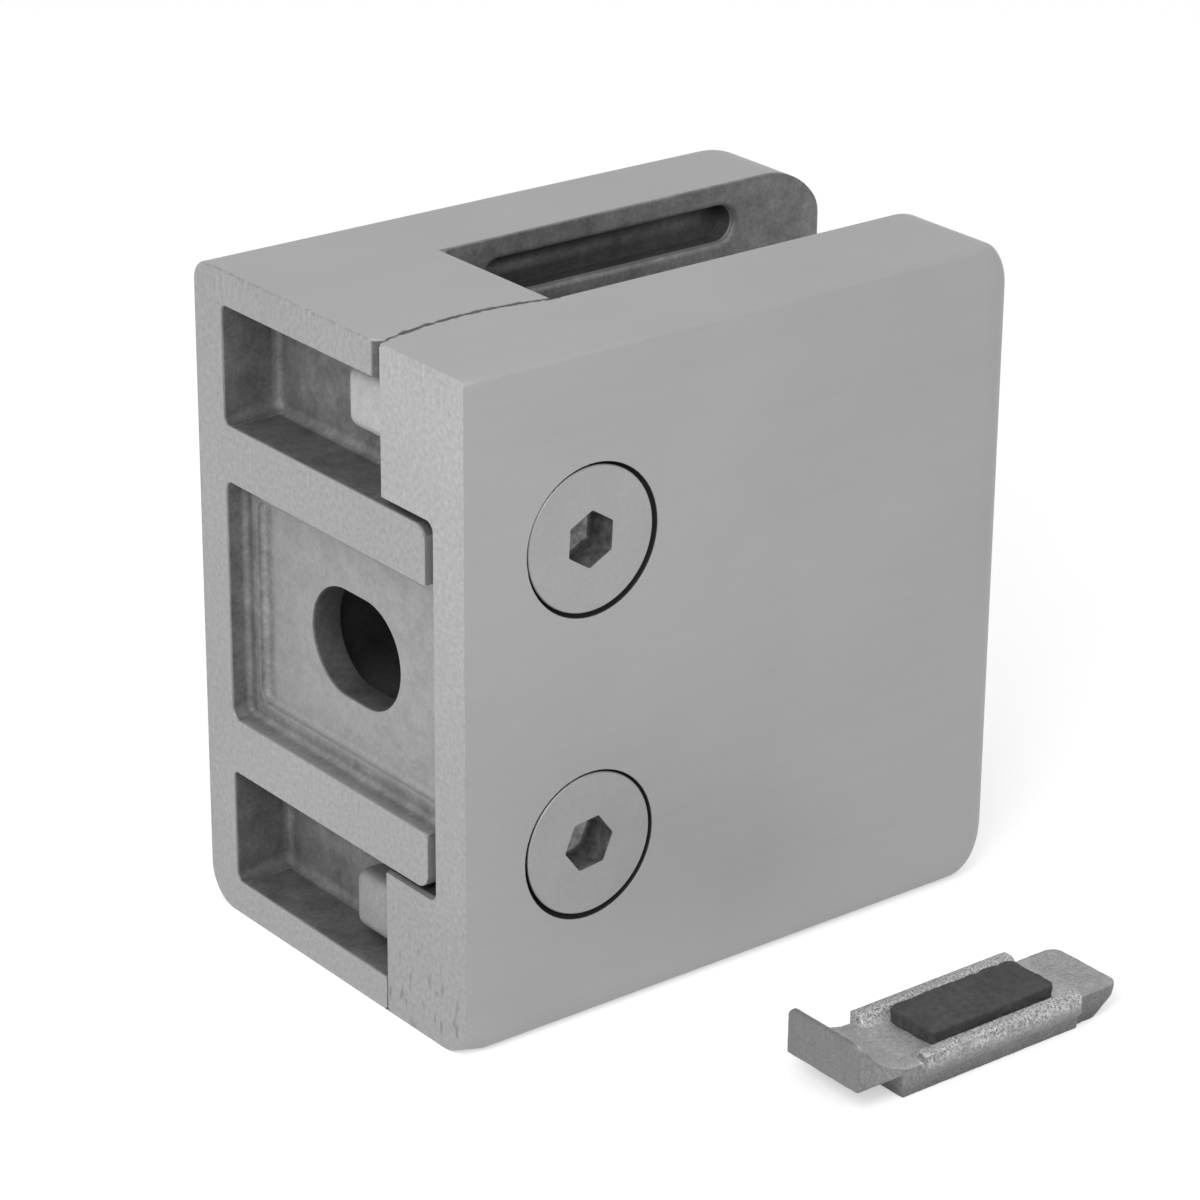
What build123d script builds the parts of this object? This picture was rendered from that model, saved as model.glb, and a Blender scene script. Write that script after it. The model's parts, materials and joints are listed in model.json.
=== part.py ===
from build123d import *
import math
import os

# Square glass clamp for a railing post, cast in zinc. Millimetres.
# Origin: centre of the post face, on the axis of the mounting bolt.
# +X runs away from the post, -Y is the screw side, +Z is up.

# Overall
clamp_height = 55.0
clamp_length = 55.0
clamp_depth = 35.0
glass_gap = 14.0
bridge_length = 16.0
end_corner_radius = 5.0
jaw_corner_radius = 6.3
back_edge_radius = 2.8
front_top_radius = 0.5
front_bottom_radius = 1.6
front_corner_radius = 3.0
front_end_radius = 4.4
free_end_sections = (0, 12, 25, 40, 55, 70, 80, 90)
jaw_tip_radius = 1.3
slot_root_radius = 0.8

# Post side: walls, ribs and pockets
outer_wall = 2.9
back_wall = 3.7
middle_pocket_height = 20.3
rib_thickness = 4.7
rib_nose_radius = 1.3
outer_pocket_depth = 5.2
middle_pocket_depth = 1.8
middle_step_depth = 0.7
middle_step_width = 1.5
pocket_corner_radius = 1.2
pocket_floor_radius = 0.8
middle_floor_radius = 0.5
wall_nose_setback = 1.0
wall_nose_depth = 1.4

# Bolt slot and the pocket for the bolt head
bolt_slot_length = 11.8
bolt_slot_height = 9.0
bolt_seat_thickness = 2.7
head_pocket_height = 16.0
head_pocket_radius = 4.0

# Front cover
cover_plate = 3.8
rib_front_gap = 1.0
notch_gap = 0.6
notch_corner_radius = 0.8
rocker_height = 1.05
rocker_radius = 28.6
rocker_seat_radius = 30.6
rocker_centre = 8.5
lug_height = 5.1
lug_thickness = 3.0
lug_setback = 1.9
lug_reach = 5.95
lug_wall_gap = 1.05
lug_edge_radius = 1.1

# Grooves for the rubber inlays, in both jaws
inlay_groove_length = 25.2
inlay_groove_height = 3.1
inlay_groove_depth = 2.0
inlay_groove_start = 20.1
inlay_groove_edge = 1.8

# Countersunk screws, M6
screw_x = 11.8
screw_diameter = 6.0
screw_length = 16.0
thread_clearance = 0.05
thread_spare_depth = 3.0
cover_hole_diameter = 6.6
head_diameter = 11.6
head_rim = 0.5
head_sink = 0.15
countersink_diameter = 12.2
countersink_clearance = 0.12
upper_countersink_shift = (0.08, -0.05)
lower_countersink_shift = (-0.07, -0.06)
socket_width = 4.0
socket_depth = 2.5
screw_tip_chamfer = 0.8
thread_mouth = 0.5
upper_socket_turn = 3.0
lower_socket_turn = 23.0

# Safety plate with its rubber pad, lying beside the clamp
plate_x = 18.2
plate_y = -37.55
plate_width = 8.1
plate_length = 27.4
plate_thickness = 2.4
hook_height = 4.0
hook_thickness = 1.1
hook_lift = 1.9
hook_corner_radius = 0.9
tongue_length = 4.6
ramp_length = 4.4
ramp_bow = 0.36
nose_length = 2.7
nose_edge = 0.4
nose_width = 7.4
nose_corner_radius = 1.1
side_rib_start = 6.6
side_rib_length = 16.0
side_rib_width = 1.35
side_rib_overhang = 0.45
side_rib_lift = 0.8
side_rib_height = 2.0
side_rib_radius = 0.4
pad_start = 8.75
pad_length = 12.8
pad_width = 5.2
pad_thickness = 1.2
pad_corner_radius = 0.5

# Worked out from the sizes above
front = -clamp_depth / 2
back = clamp_depth / 2
half_height = clamp_height / 2
jaw_thickness = (clamp_depth - glass_gap) / 2
cover_back = front + jaw_thickness
jaw_inner = back - jaw_thickness
ledge_front = cover_back + rocker_height
rib_inner = middle_pocket_height / 2
rib_outer = rib_inner + rib_thickness
rib_front = front + cover_plate + rib_front_gap
pocket_back = back - back_wall
pocket_outer = half_height - outer_wall
middle_floor = middle_pocket_depth + middle_step_depth
screw_z = rib_inner + rib_thickness / 2
floor_z = -half_height
past = 5.0


def side_block(x0, x1, y0, y1):
    """Block across the full height, both corners of its free end rounded as seen from the front."""
    width = x1 - x0
    block = Pos((x0 + x1) / 2, (y0 + y1) / 2, 0) * Box(width, y1 - y0, clamp_height)
    corners = block.edges().filter_by(Axis.Y).group_by(Axis.X)[-1]
    return fillet(corners, jaw_corner_radius)


def cross_pocket(y0, y1, z0, z1, depth, floor_radius):
    """Pocket sunk from the post face, its corners and its floor's edge rounded."""
    section = Plane.YZ * Pos((y0 + y1) / 2, (z0 + z1) / 2) * RectangleRounded(
        y1 - y0, z1 - z0, pocket_corner_radius
    )
    pocket = extrude(section, depth)
    return fillet(pocket.faces().sort_by(Axis.X)[-1].edges(), floor_radius)


def jaw_groove(y, direction, sign):
    """Obround groove for a rubber inlay, cut into a jaw's inner face near its top or bottom."""
    centre_x = inlay_groove_start + inlay_groove_length / 2
    centre_z = sign * (half_height - inlay_groove_edge - inlay_groove_height / 2)
    outline = SlotOverall(inlay_groove_length, inlay_groove_height)
    section = Plane((centre_x, y, centre_z), x_dir=(1, 0, 0), z_dir=(0, direction, 0)) * outline
    return extrude(section, inlay_groove_depth)


def make_bridge_and_jaw():
    """Bridge block at the post and the long back jaw, with the rounded back outline."""
    block = side_block(0, clamp_length, rib_front, back)
    slot = Pos((bridge_length + clamp_length + past) / 2, (rib_front - past + jaw_inner) / 2, 0) * Box(
        clamp_length + past - bridge_length, jaw_inner - rib_front + past, clamp_height + past
    )
    root = slot.edges().filter_by(Axis.Z).group_by(Axis.X)[0].sort_by(Axis.Y)[-1]
    block -= fillet(root, slot_root_radius)
    outline = block.faces().sort_by(Axis.Y)[-1].edges()
    rim = [edge for edge in outline if edge.bounding_box().max.X > past]
    block = fillet(rim, back_edge_radius)
    # Hollow seat that the cover's rocker bears in
    seat = Pos(rocker_centre, ledge_front - rocker_seat_radius, 0) * Cylinder(
        rocker_seat_radius, clamp_height + past
    )
    return block - seat - wall_nose_cut() - jaw_tip_cut(jaw_inner, 1)


def wall_nose_cut():
    """Tool that sets the upper wall's end back from the cover, at the post face."""
    seat_y = ledge_front - rocker_seat_radius + math.sqrt(rocker_seat_radius ** 2 - rocker_centre ** 2)
    plan = make_face(Polyline(
        (0, seat_y + wall_nose_setback), (wall_nose_depth, seat_y), (wall_nose_depth, seat_y - past),
        (-past, seat_y - past), (-past, seat_y + wall_nose_setback), close=True
    ))
    return Pos(0, 0, pocket_outer) * extrude(plan, clamp_height)


def jaw_tip_cut(y, direction):
    """Tool that rounds the upright edge where a jaw's inner face meets its free end."""
    corner = Pos(clamp_length - jaw_tip_radius, y + direction * jaw_tip_radius, 0)
    block = Pos(clamp_length, y, 0) * Box(2 * jaw_tip_radius, 2 * jaw_tip_radius, clamp_height + past)
    return block - corner * Cylinder(jaw_tip_radius, clamp_height + past)


def make_middle_block():
    """Forward block with the two ribs' rounded noses, which the cover's notch fits around."""
    y1 = ledge_front + past
    section = Plane.YZ * Pos((rib_front + y1) / 2, 0) * Rectangle(y1 - rib_front, 2 * rib_outer)
    noses = section.vertices().group_by(Axis.Y)[0]
    return extrude(fillet(noses, rib_nose_radius), bridge_length)


def make_clamp_body():
    body = make_bridge_and_jaw() + make_middle_block()
    # Pockets above and below the ribs, open at the front to the cover
    for sign in (1, -1):
        z0, z1 = sorted((sign * rib_outer, sign * pocket_outer))
        body -= cross_pocket(rib_front - past, pocket_back, z0, z1, outer_pocket_depth, pocket_floor_radius)
    # Middle pocket with a shallow step down to the floor that carries the bolt
    body -= cross_pocket(rib_front - past, pocket_back, -rib_inner, rib_inner,
                         middle_pocket_depth, middle_floor_radius)
    step = rib_inner - middle_step_width
    body -= cross_pocket(rib_front - past, pocket_back - middle_step_width, -step, step,
                         middle_floor, middle_floor_radius)
    # Slotted bolt hole, then the pocket for the bolt's head, open to the glass slot
    body -= extrude(Plane.YZ * SlotOverall(bolt_slot_length, bolt_slot_height), bridge_length)
    head_room = Plane.YZ.offset(middle_floor + bolt_seat_thickness) * RectangleRounded(
        glass_gap, head_pocket_height, head_pocket_radius
    )
    body -= extrude(head_room, bridge_length)
    for sign in (1, -1):
        body -= thread_hole(sign)
        body -= jaw_groove(jaw_inner, 1, sign)
    return body


def thread_hole(sign):
    """Blind hole for one screw, from the middle block's front face."""
    radius = screw_diameter / 2 + thread_clearance
    depth = front + head_sink + screw_length + thread_spare_depth - rib_front
    hole = Pos(screw_x, rib_front + depth / 2, sign * screw_z) * Rot(90, 0, 0) * Cylinder(radius, depth)
    mouth = Pos(screw_x, rib_front + thread_mouth / 2, sign * screw_z) * Rot(90, 0, 0) * Cone(
        radius, radius + thread_mouth, thread_mouth
    )
    return hole + mouth


def cover_section(x, half, y0, top_radius, bottom_radius):
    """Cover section across X, its two front corners rounded."""
    depth = ledge_front + past - y0
    section = Pos(y0 + depth / 2, 0) * Rectangle(depth, 2 * half)
    corners = section.vertices().group_by(Axis.X)[0].sort_by(Axis.Y)
    section = fillet(corners[-1], top_radius)
    section = fillet(section.vertices().group_by(Axis.Y)[0].sort_by(Axis.X)[0], bottom_radius)
    return Plane.YZ.offset(x) * section


def make_cover_form():
    """Outer form: a straight length, then the free end that rounds towards its tip."""
    end_start = clamp_length - end_corner_radius
    straight = cover_section(0, half_height, front, front_top_radius, front_bottom_radius)
    sections = []
    for degrees in free_end_sections:
        turn = math.radians(degrees)
        x = end_start + end_corner_radius * math.sin(turn)
        half = half_height - end_corner_radius * (1 - math.cos(turn))
        into_end = max(x - (clamp_length - front_end_radius), 0)
        y0 = front + front_end_radius - math.sqrt(max(front_end_radius ** 2 - into_end ** 2, 0))
        grow = math.sin(turn)
        top_radius = front_top_radius + (front_corner_radius - front_top_radius) * grow
        bottom_radius = front_bottom_radius + (front_corner_radius - front_bottom_radius) * grow
        sections.append(cover_section(x, half, y0, top_radius, bottom_radius))
    return extrude(straight, end_start) + loft(sections)


def make_cover_plan():
    """Plan of the cover: flat jaw, then the convex rocker that bears on the body's ledge."""
    centre_y = ledge_front - rocker_radius
    start_y = centre_y + math.sqrt(rocker_radius ** 2 - rocker_centre ** 2)
    reach = math.sqrt(rocker_radius ** 2 - (cover_back - centre_y) ** 2)
    rocker = ThreePointArc((0, start_y), (rocker_centre, ledge_front), (rocker_centre + reach, cover_back))
    outline = Polyline(
        (rocker_centre + reach, cover_back), (clamp_length + past, cover_back),
        (clamp_length + past, front - past), (0, front - past), (0, start_y)
    )
    plan = make_face(Curve() + [rocker, outline])
    return Pos(0, 0, -half_height - past) * extrude(plan, clamp_height + 2 * past)


def make_lug(sign):
    """Locating lug that reaches from the cover's tongue into a post-side pocket."""
    z = sign * (pocket_outer - lug_wall_gap - lug_height / 2)
    y0 = cover_back - rocker_height
    y1 = ledge_front + lug_reach
    lug = Pos(lug_setback + lug_thickness / 2, (y0 + y1) / 2, z) * Box(lug_thickness, y1 - y0, lug_height)
    return fillet(lug.edges().group_by(Axis.Y)[-1] + lug.edges().filter_by(Axis.Y), lug_edge_radius)


def make_cover():
    cover = make_cover_form() & make_cover_plan()
    notch_half = rib_outer + notch_gap
    notch_front = front + cover_plate
    notch_back = ledge_front + past
    section = Plane.YZ.offset(-past) * Pos((notch_front + notch_back) / 2, 0) * RectangleRounded(
        notch_back - notch_front, 2 * notch_half, notch_corner_radius
    )
    cover -= extrude(section, past + bridge_length + notch_gap)
    for sign, shift in ((1, upper_countersink_shift), (-1, lower_countersink_shift)):
        cover += make_lug(sign)
        cover -= Pos(shift[0], 0, shift[1]) * countersink(sign)
        cover -= jaw_groove(cover_back, -1, sign)
    return cover - jaw_tip_cut(cover_back, -1)


def turned(points, sign):
    """Solid of revolution about a screw's axis. Points are (radius, depth below the front face)."""
    face = make_face(Polyline(*points, close=True))
    solid = revolve(face, Axis.Y)
    return Pos(screw_x, front, sign * screw_z) * solid


def countersink(sign):
    """Countersunk clearance hole through the cover's thin plate."""
    rim = countersink_diameter / 2
    hole = cover_hole_diameter / 2
    cone_start = head_sink + head_rim - (rim - head_diameter / 2 - countersink_clearance)
    cone_end = cone_start + rim - hole
    through = ledge_front + past - front
    points = [(0, -past), (rim, -past), (rim, cone_start), (hole, cone_end), (hole, through), (0, through)]
    return turned(points, sign)


def make_screw(sign, socket_turn):
    """Countersunk screw with a hexagon socket, its tip in the body's thread."""
    rim = head_diameter / 2
    shank = screw_diameter / 2
    top = head_sink
    tip = top + screw_length
    points = [
        (0, top), (rim, top), (rim, top + head_rim), (shank, top + head_rim + rim - shank),
        (shank, tip - screw_tip_chamfer), (shank - screw_tip_chamfer, tip), (0, tip)
    ]
    screw = turned(points, sign)
    corner_radius = socket_width / math.sqrt(3)
    centre = (screw_x, front + top, sign * screw_z)
    mouth = Plane(centre, x_dir=(1, 0, 0), z_dir=(0, 1, 0))
    socket = extrude(mouth * Rot(0, 0, 90 + socket_turn) * RegularPolygon(corner_radius, 6), socket_depth)
    return screw - socket


def make_safety_plate():
    """Cast plate: hooked end on a short tongue, ramp, web, two side ribs and a tapered nose."""
    top = plate_thickness
    hook_top = hook_lift + hook_height
    ramp_start = hook_thickness
    ramp_end = ramp_start + ramp_length
    ramp_mid = (ramp_start + ramp_length * ramp_bow, top + (hook_top - top) * ramp_bow)
    ramp = ThreePointArc((ramp_start, hook_top), ramp_mid, (ramp_end, top))
    outline = Polyline(
        (ramp_end, top), (plate_length, top), (plate_length, top - nose_edge),
        (plate_length - nose_length, 0), (tongue_length, 0), (tongue_length, hook_lift),
        (0, hook_lift), (0, hook_top), (ramp_start, hook_top)
    )
    profile = Plane.XZ * make_face(Curve() + [ramp, outline])
    plate = Pos(0, plate_width / 2, 0) * extrude(profile, plate_width)
    plate &= extrude(plate_plan(), hook_top) & extrude(hook_section(hook_top), plate_length)
    for side in (1, -1):
        plate += make_side_rib(side)
    return Pos(plate_x, plate_y, floor_z) * plate


def plate_plan():
    """Plan of the safety plate: full width, then a narrower nose with rounded corners."""
    nose_start = side_rib_start + side_rib_length
    blank = Pos(nose_start / 2, 0) * Rectangle(nose_start, plate_width)
    nose = Pos(plate_length / 2, 0) * Rectangle(plate_length, nose_width)
    plan = blank + nose
    return fillet(plan.vertices().group_by(Axis.X)[-1], nose_corner_radius)


def hook_section(hook_top):
    """Section across the safety plate, its top corners rounded as those of the hook are."""
    section = Pos(0, hook_top / 2) * Rectangle(plate_width, hook_top)
    return Plane.YZ * fillet(section.vertices().group_by(Axis.Y)[-1], hook_corner_radius)


def make_side_rib(side):
    """Rounded rib along one long side of the safety plate."""
    outer = plate_width / 2 + side_rib_overhang
    y = side * (outer - side_rib_width / 2)
    z = plate_thickness + side_rib_lift - side_rib_height / 2
    rib = Pos(side_rib_start + side_rib_length / 2, y, z) * Box(side_rib_length, side_rib_width, side_rib_height)
    return fillet(rib.edges().filter_by(Axis.X), side_rib_radius)


def make_plate_pad():
    """Rubber pad glued between the plate's ribs."""
    outline = RectangleRounded(pad_length, pad_width, pad_corner_radius)
    place = Pos(plate_x + pad_start + pad_length / 2, plate_y, floor_z + plate_thickness)
    return place * extrude(outline, pad_thickness)


os.makedirs("parts", exist_ok=True)
pieces = {
    "clamp_body": make_clamp_body(),
    "clamp_cover": make_cover(),
    "upper_screw": make_screw(1, upper_socket_turn),
    "lower_screw": make_screw(-1, lower_socket_turn),
    "safety_plate": make_safety_plate(),
    "plate_pad": make_plate_pad(),
}
for name, piece in pieces.items():
    export_step(piece, f"parts/{name}.step")
    print(name, round(piece.volume, 1))
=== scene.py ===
# Glass railing clamp, cast in zinc, with its loose safety plate. Metres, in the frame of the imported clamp.
import json
import math
import bpy
import bmesh
from mathutils import Matrix, Vector

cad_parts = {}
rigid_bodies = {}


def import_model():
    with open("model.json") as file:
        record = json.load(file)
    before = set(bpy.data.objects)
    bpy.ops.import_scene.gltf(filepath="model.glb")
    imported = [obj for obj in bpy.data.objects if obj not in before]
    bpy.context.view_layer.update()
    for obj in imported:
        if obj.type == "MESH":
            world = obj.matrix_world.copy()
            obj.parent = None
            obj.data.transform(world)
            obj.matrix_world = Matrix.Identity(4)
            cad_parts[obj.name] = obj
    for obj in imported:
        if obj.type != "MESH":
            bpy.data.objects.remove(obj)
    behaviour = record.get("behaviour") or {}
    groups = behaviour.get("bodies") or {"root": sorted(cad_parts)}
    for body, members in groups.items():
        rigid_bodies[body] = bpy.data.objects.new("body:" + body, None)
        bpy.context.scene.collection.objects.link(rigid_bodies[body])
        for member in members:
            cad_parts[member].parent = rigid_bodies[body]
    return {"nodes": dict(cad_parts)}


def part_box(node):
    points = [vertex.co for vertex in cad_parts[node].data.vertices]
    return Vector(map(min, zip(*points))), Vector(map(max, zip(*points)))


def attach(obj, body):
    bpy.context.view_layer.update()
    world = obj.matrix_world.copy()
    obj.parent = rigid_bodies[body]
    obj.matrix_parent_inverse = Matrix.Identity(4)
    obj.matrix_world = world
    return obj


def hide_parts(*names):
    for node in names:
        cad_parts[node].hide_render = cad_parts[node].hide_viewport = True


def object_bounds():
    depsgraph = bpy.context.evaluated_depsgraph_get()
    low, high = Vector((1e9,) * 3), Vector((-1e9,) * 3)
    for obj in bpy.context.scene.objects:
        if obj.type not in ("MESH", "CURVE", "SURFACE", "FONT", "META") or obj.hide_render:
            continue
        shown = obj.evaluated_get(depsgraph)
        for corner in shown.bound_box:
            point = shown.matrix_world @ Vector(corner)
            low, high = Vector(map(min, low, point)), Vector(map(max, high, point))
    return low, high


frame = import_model()
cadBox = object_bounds()
mm = 0.001
screwAxis = {"x": 11.8, "z": 12.5}      # of the upper screw; the lower one mirrors it
print("frame loaded:", sorted(frame["nodes"]))


# Small helpers for meshes
def deselectAll():
    for item in bpy.context.scene.objects:
        item.select_set(False)


def makeActive(item):
    deselectAll()
    item.select_set(True)
    bpy.context.view_layer.objects.active = item


def newObject(name, data):
    item = bpy.data.objects.new(name, data)
    bpy.context.scene.collection.objects.link(item)
    return item


def startEdit(piece, action, kind=None):
    # edit mode with everything or nothing selected
    makeActive(piece)
    bpy.ops.object.mode_set(mode="EDIT")
    if kind:
        bpy.ops.mesh.select_mode(type=kind)
    bpy.ops.mesh.select_all(action=action)


def limited(value, low=0.0, high=1.0):
    return min(max(value, low), high)


def applyModifier(piece, name, kind, **settings):
    makeActive(piece)
    modifier = piece.modifiers.new(name, kind)
    for key, value in settings.items():
        setattr(modifier, key, value)
    bpy.ops.object.modifier_apply(modifier=modifier.name)


def applyPlace(piece):
    makeActive(piece)
    bpy.ops.object.transform_apply(location=True, rotation=True, scale=True)


def copyOfNode(nodeName, pieceName):
    # a CAD node's mesh, merged into one skin
    piece = newObject(pieceName, frame["nodes"][nodeName].data.copy())
    makeActive(piece)
    bpy.ops.mesh.customdata_custom_splitnormals_clear()
    startEdit(piece, "SELECT")
    bpy.ops.mesh.remove_doubles(threshold=0.002 * mm)
    bpy.ops.mesh.dissolve_limited(angle_limit=math.radians(0.6))
    bpy.ops.object.mode_set(mode="OBJECT")
    return piece


def bevelChosenEdges(piece, chosen, width, segments):
    # chosen gets each edge's two ends in millimetres
    startEdit(piece, "DESELECT", "EDGE")
    skin = bmesh.from_edit_mesh(piece.data)
    for edge in skin.edges:
        first, second = (corner.co / mm for corner in edge.verts)
        if chosen(first, second):
            edge.select_set(True)
    bmesh.update_edit_mesh(piece.data)
    bpy.ops.mesh.bevel(offset=width * mm, segments=segments, affect="EDGES")
    bpy.ops.object.mode_set(mode="OBJECT")


def finishPiece(piece, material, body, nodeName):
    piece.data.materials.clear()
    piece.data.materials.append(material)
    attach(piece, body)
    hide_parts(nodeName)


# Small helpers for materials
def newMaterial(name):
    material = bpy.data.materials.new(name)
    material.use_nodes = True
    material.node_tree.nodes.clear()
    return material


def addNode(material, kind, links=None, **settings):
    # one node, its plain settings, and its inputs as numbers or as sockets to link
    node = material.node_tree.nodes.new(kind)
    for key, value in settings.items():
        setattr(node, key, value)
    for key, value in (links or {}).items():
        socket = node.inputs[key]
        if isinstance(value, bpy.types.NodeSocket):
            material.node_tree.links.new(value, socket)
        else:
            socket.default_value = value
    return node


def mathNode(material, operation, first, second=0.0):
    return addNode(material, "ShaderNodeMath", {0: first, 1: second}, operation=operation).outputs[0]


def vectorNode(material, operation, first, second=(0.0, 0.0, 0.0)):
    return addNode(material, "ShaderNodeVectorMath", {0: first, 1: second}, operation=operation)


def product(material, *factors):
    total = factors[0]
    for factor in factors[1:]:
        total = mathNode(material, "MULTIPLY", total, factor)
    return total


def noiseNode(material, vector, scale, detail=3.0, roughness=0.55):
    settings = {"Vector": vector, "Scale": scale, "Detail": detail, "Roughness": roughness}
    return addNode(material, "ShaderNodeTexNoise", settings).outputs["Fac"]


def stretchedNoise(material, position, perMetre, detail, roughness=0.55):
    vector = vectorNode(material, "MULTIPLY", position, perMetre).outputs[0]
    return noiseNode(material, vector, 1.0, detail, roughness)


def rampNode(material, factor, low, high, lowValue=0.0, highValue=1.0):
    settings = {"Value": factor, "From Min": low, "From Max": high, "To Min": lowValue, "To Max": highValue}
    return addNode(material, "ShaderNodeMapRange", settings).outputs["Result"]


def rampBetween(material, distance, ends, lowValue=0.0, highValue=1.0, start=0.0):
    # a ramp whose ends are millimetres from start, itself in metres
    return rampNode(material, distance, start + ends[0] * mm, start + ends[1] * mm, lowValue, highValue)


def spread(material, noise, lowValue, highValue):
    # a noise, which lies mostly between 0.3 and 0.7, brought between two levels
    return rampNode(material, noise, 0.3, 0.7, lowValue, highValue)


def mixNode(material, factor, first, second):
    settings = {"Factor": factor, "A": first, "B": second}
    return addNode(material, "ShaderNodeMix", settings, data_type="FLOAT").outputs["Result"]


def greyNode(material, level, blue=1.0):
    tint = mathNode(material, "MULTIPLY", level, blue)
    channels = {"Red": level, "Green": level, "Blue": tint}
    return addNode(material, "ShaderNodeCombineColor", channels).outputs["Color"]


def objectPosition(material):
    # place on the piece, and its three parts
    position = addNode(material, "ShaderNodeTexCoord").outputs["Object"]
    return position, addNode(material, "ShaderNodeSeparateXYZ", {0: position}).outputs[:3]


def screwDistance(material, x, z):
    # from the nearer screw's axis
    over = mathNode(material, "SUBTRACT", mathNode(material, "ABSOLUTE", z), screwAxis["z"] * mm)
    along = mathNode(material, "SUBTRACT", x, screwAxis["x"] * mm)
    squares = mathNode(material, "ADD", product(material, over, over), product(material, along, along))
    return mathNode(material, "SQRT", squares)


def seenDirectly(tree):
    # 1 for what is seen straight, in a reflection or through glass, and 0 for what only lights the scene
    path = addNode(tree, "ShaderNodeLightPath").outputs
    straight = mathNode(tree, "MAXIMUM", path["Is Camera Ray"], path["Is Glossy Ray"])
    return mathNode(tree, "MAXIMUM", straight, path["Is Transmission Ray"])


def boxMask(material, position, low, high, fade):
    # 1 inside a box given in millimetres, falling to 0 over fade millimetres at its sides
    centre = [(a + b) / 2 * mm for a, b in zip(low, high)]
    half = [(b - a) / 2 * mm for a, b in zip(low, high)]
    offset = vectorNode(material, "SUBTRACT", position, centre).outputs[0]
    size = vectorNode(material, "ABSOLUTE", offset).outputs[0]
    room = vectorNode(material, "SUBTRACT", half, size).outputs[0]
    parts = addNode(material, "ShaderNodeSeparateXYZ", {0: room}).outputs
    least = mathNode(material, "MINIMUM", mathNode(material, "MINIMUM", parts[0], parts[1]), parts[2])
    return rampNode(material, least, 0.0, fade * mm)


def outputNode(material, color, metallic, roughness, normal):
    surface = addNode(material, "ShaderNodeBsdfPrincipled", {
        "Base Color": color, "Metallic": metallic, "Roughness": roughness, "Normal": normal
    })
    addNode(material, "ShaderNodeOutputMaterial", {"Surface": surface.outputs[0]})
    return material


def bumpNode(material, height, strength, distance):
    return addNode(material, "ShaderNodeBump", {
        "Height": height, "Strength": strength, "Distance": distance * mm
    }).outputs["Normal"]


# Cast zinc of the clamp's body and cover. Sizes in millimetres, levels as linear grey
zincLook = {
    "groundLevel": 0.39, "sawnLevel": 0.40,      # ground outer faces, and the sawn post face
    "metallic": 0.5, "blue": 1.01,
    "groundRoughness": 0.55, "roughnessChange": 0.03, "castRoughness": 0.62,
    "mottlePerMetre": 70.0, "grainPerMetre": 2300.0, "castGrainPerMetre": 2600.0, "castPatchPerMetre": 420.0,
    "streaks": (45.0, 300.0, 1000.0), "streakTilt": 0.05,      # along the front, slightly inclined
    "sawMarks": (300.0, 2700.0, 150.0),          # upright on the upper wall of the post face
    # the last pair: heights over which painted light makes the post face lighter upwards
    "sawnEnds": (0.02, 0.10), "upperWall": (24.4, 24.9), "postLightEnds": (-20.0, 22.0),
    "dashes": (900.0, 1500.0, 420.0), "dashEnds": (-25.0, -17.0), "dashLevel": 0.72,
    "zoneFade": 0.15, "calmAbove": 0.27,         # cast areas lighter than this are less mottled
    "sinkRadius": 6.6, "sinkShadeLevel": 0.035, "sinkFront": (-17.47, -17.38), "sinkBack": -14.4,
    "seamCentre": (8.5, -34.55), "seamRadius": 28.6, "seamWidth": 0.27, "seamEnd": 16.6, "seamStart": 27.25,
    "seamDirtAndShadeLevel": 0.09, "seamPerMetre": 800.0, "seamRagged": (-0.20, 0.24),
    "burrWidth": 0.14, "burrLevel": 0.8, "burrPerMetre": 1700.0, "burrBehind": -6.2, "topHeight": 27.5,
    "fineRelief": 0.010, "grainRelief": 0.05, "patchRelief": 0.10,
}


def aboveAndBelow(low, high, *levels):
    # the same cast area in both halves of the clamp
    return [(low, high) + levels, ((low[0], low[1], -high[2]), (high[0], high[1], -low[2])) + levels]


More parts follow.
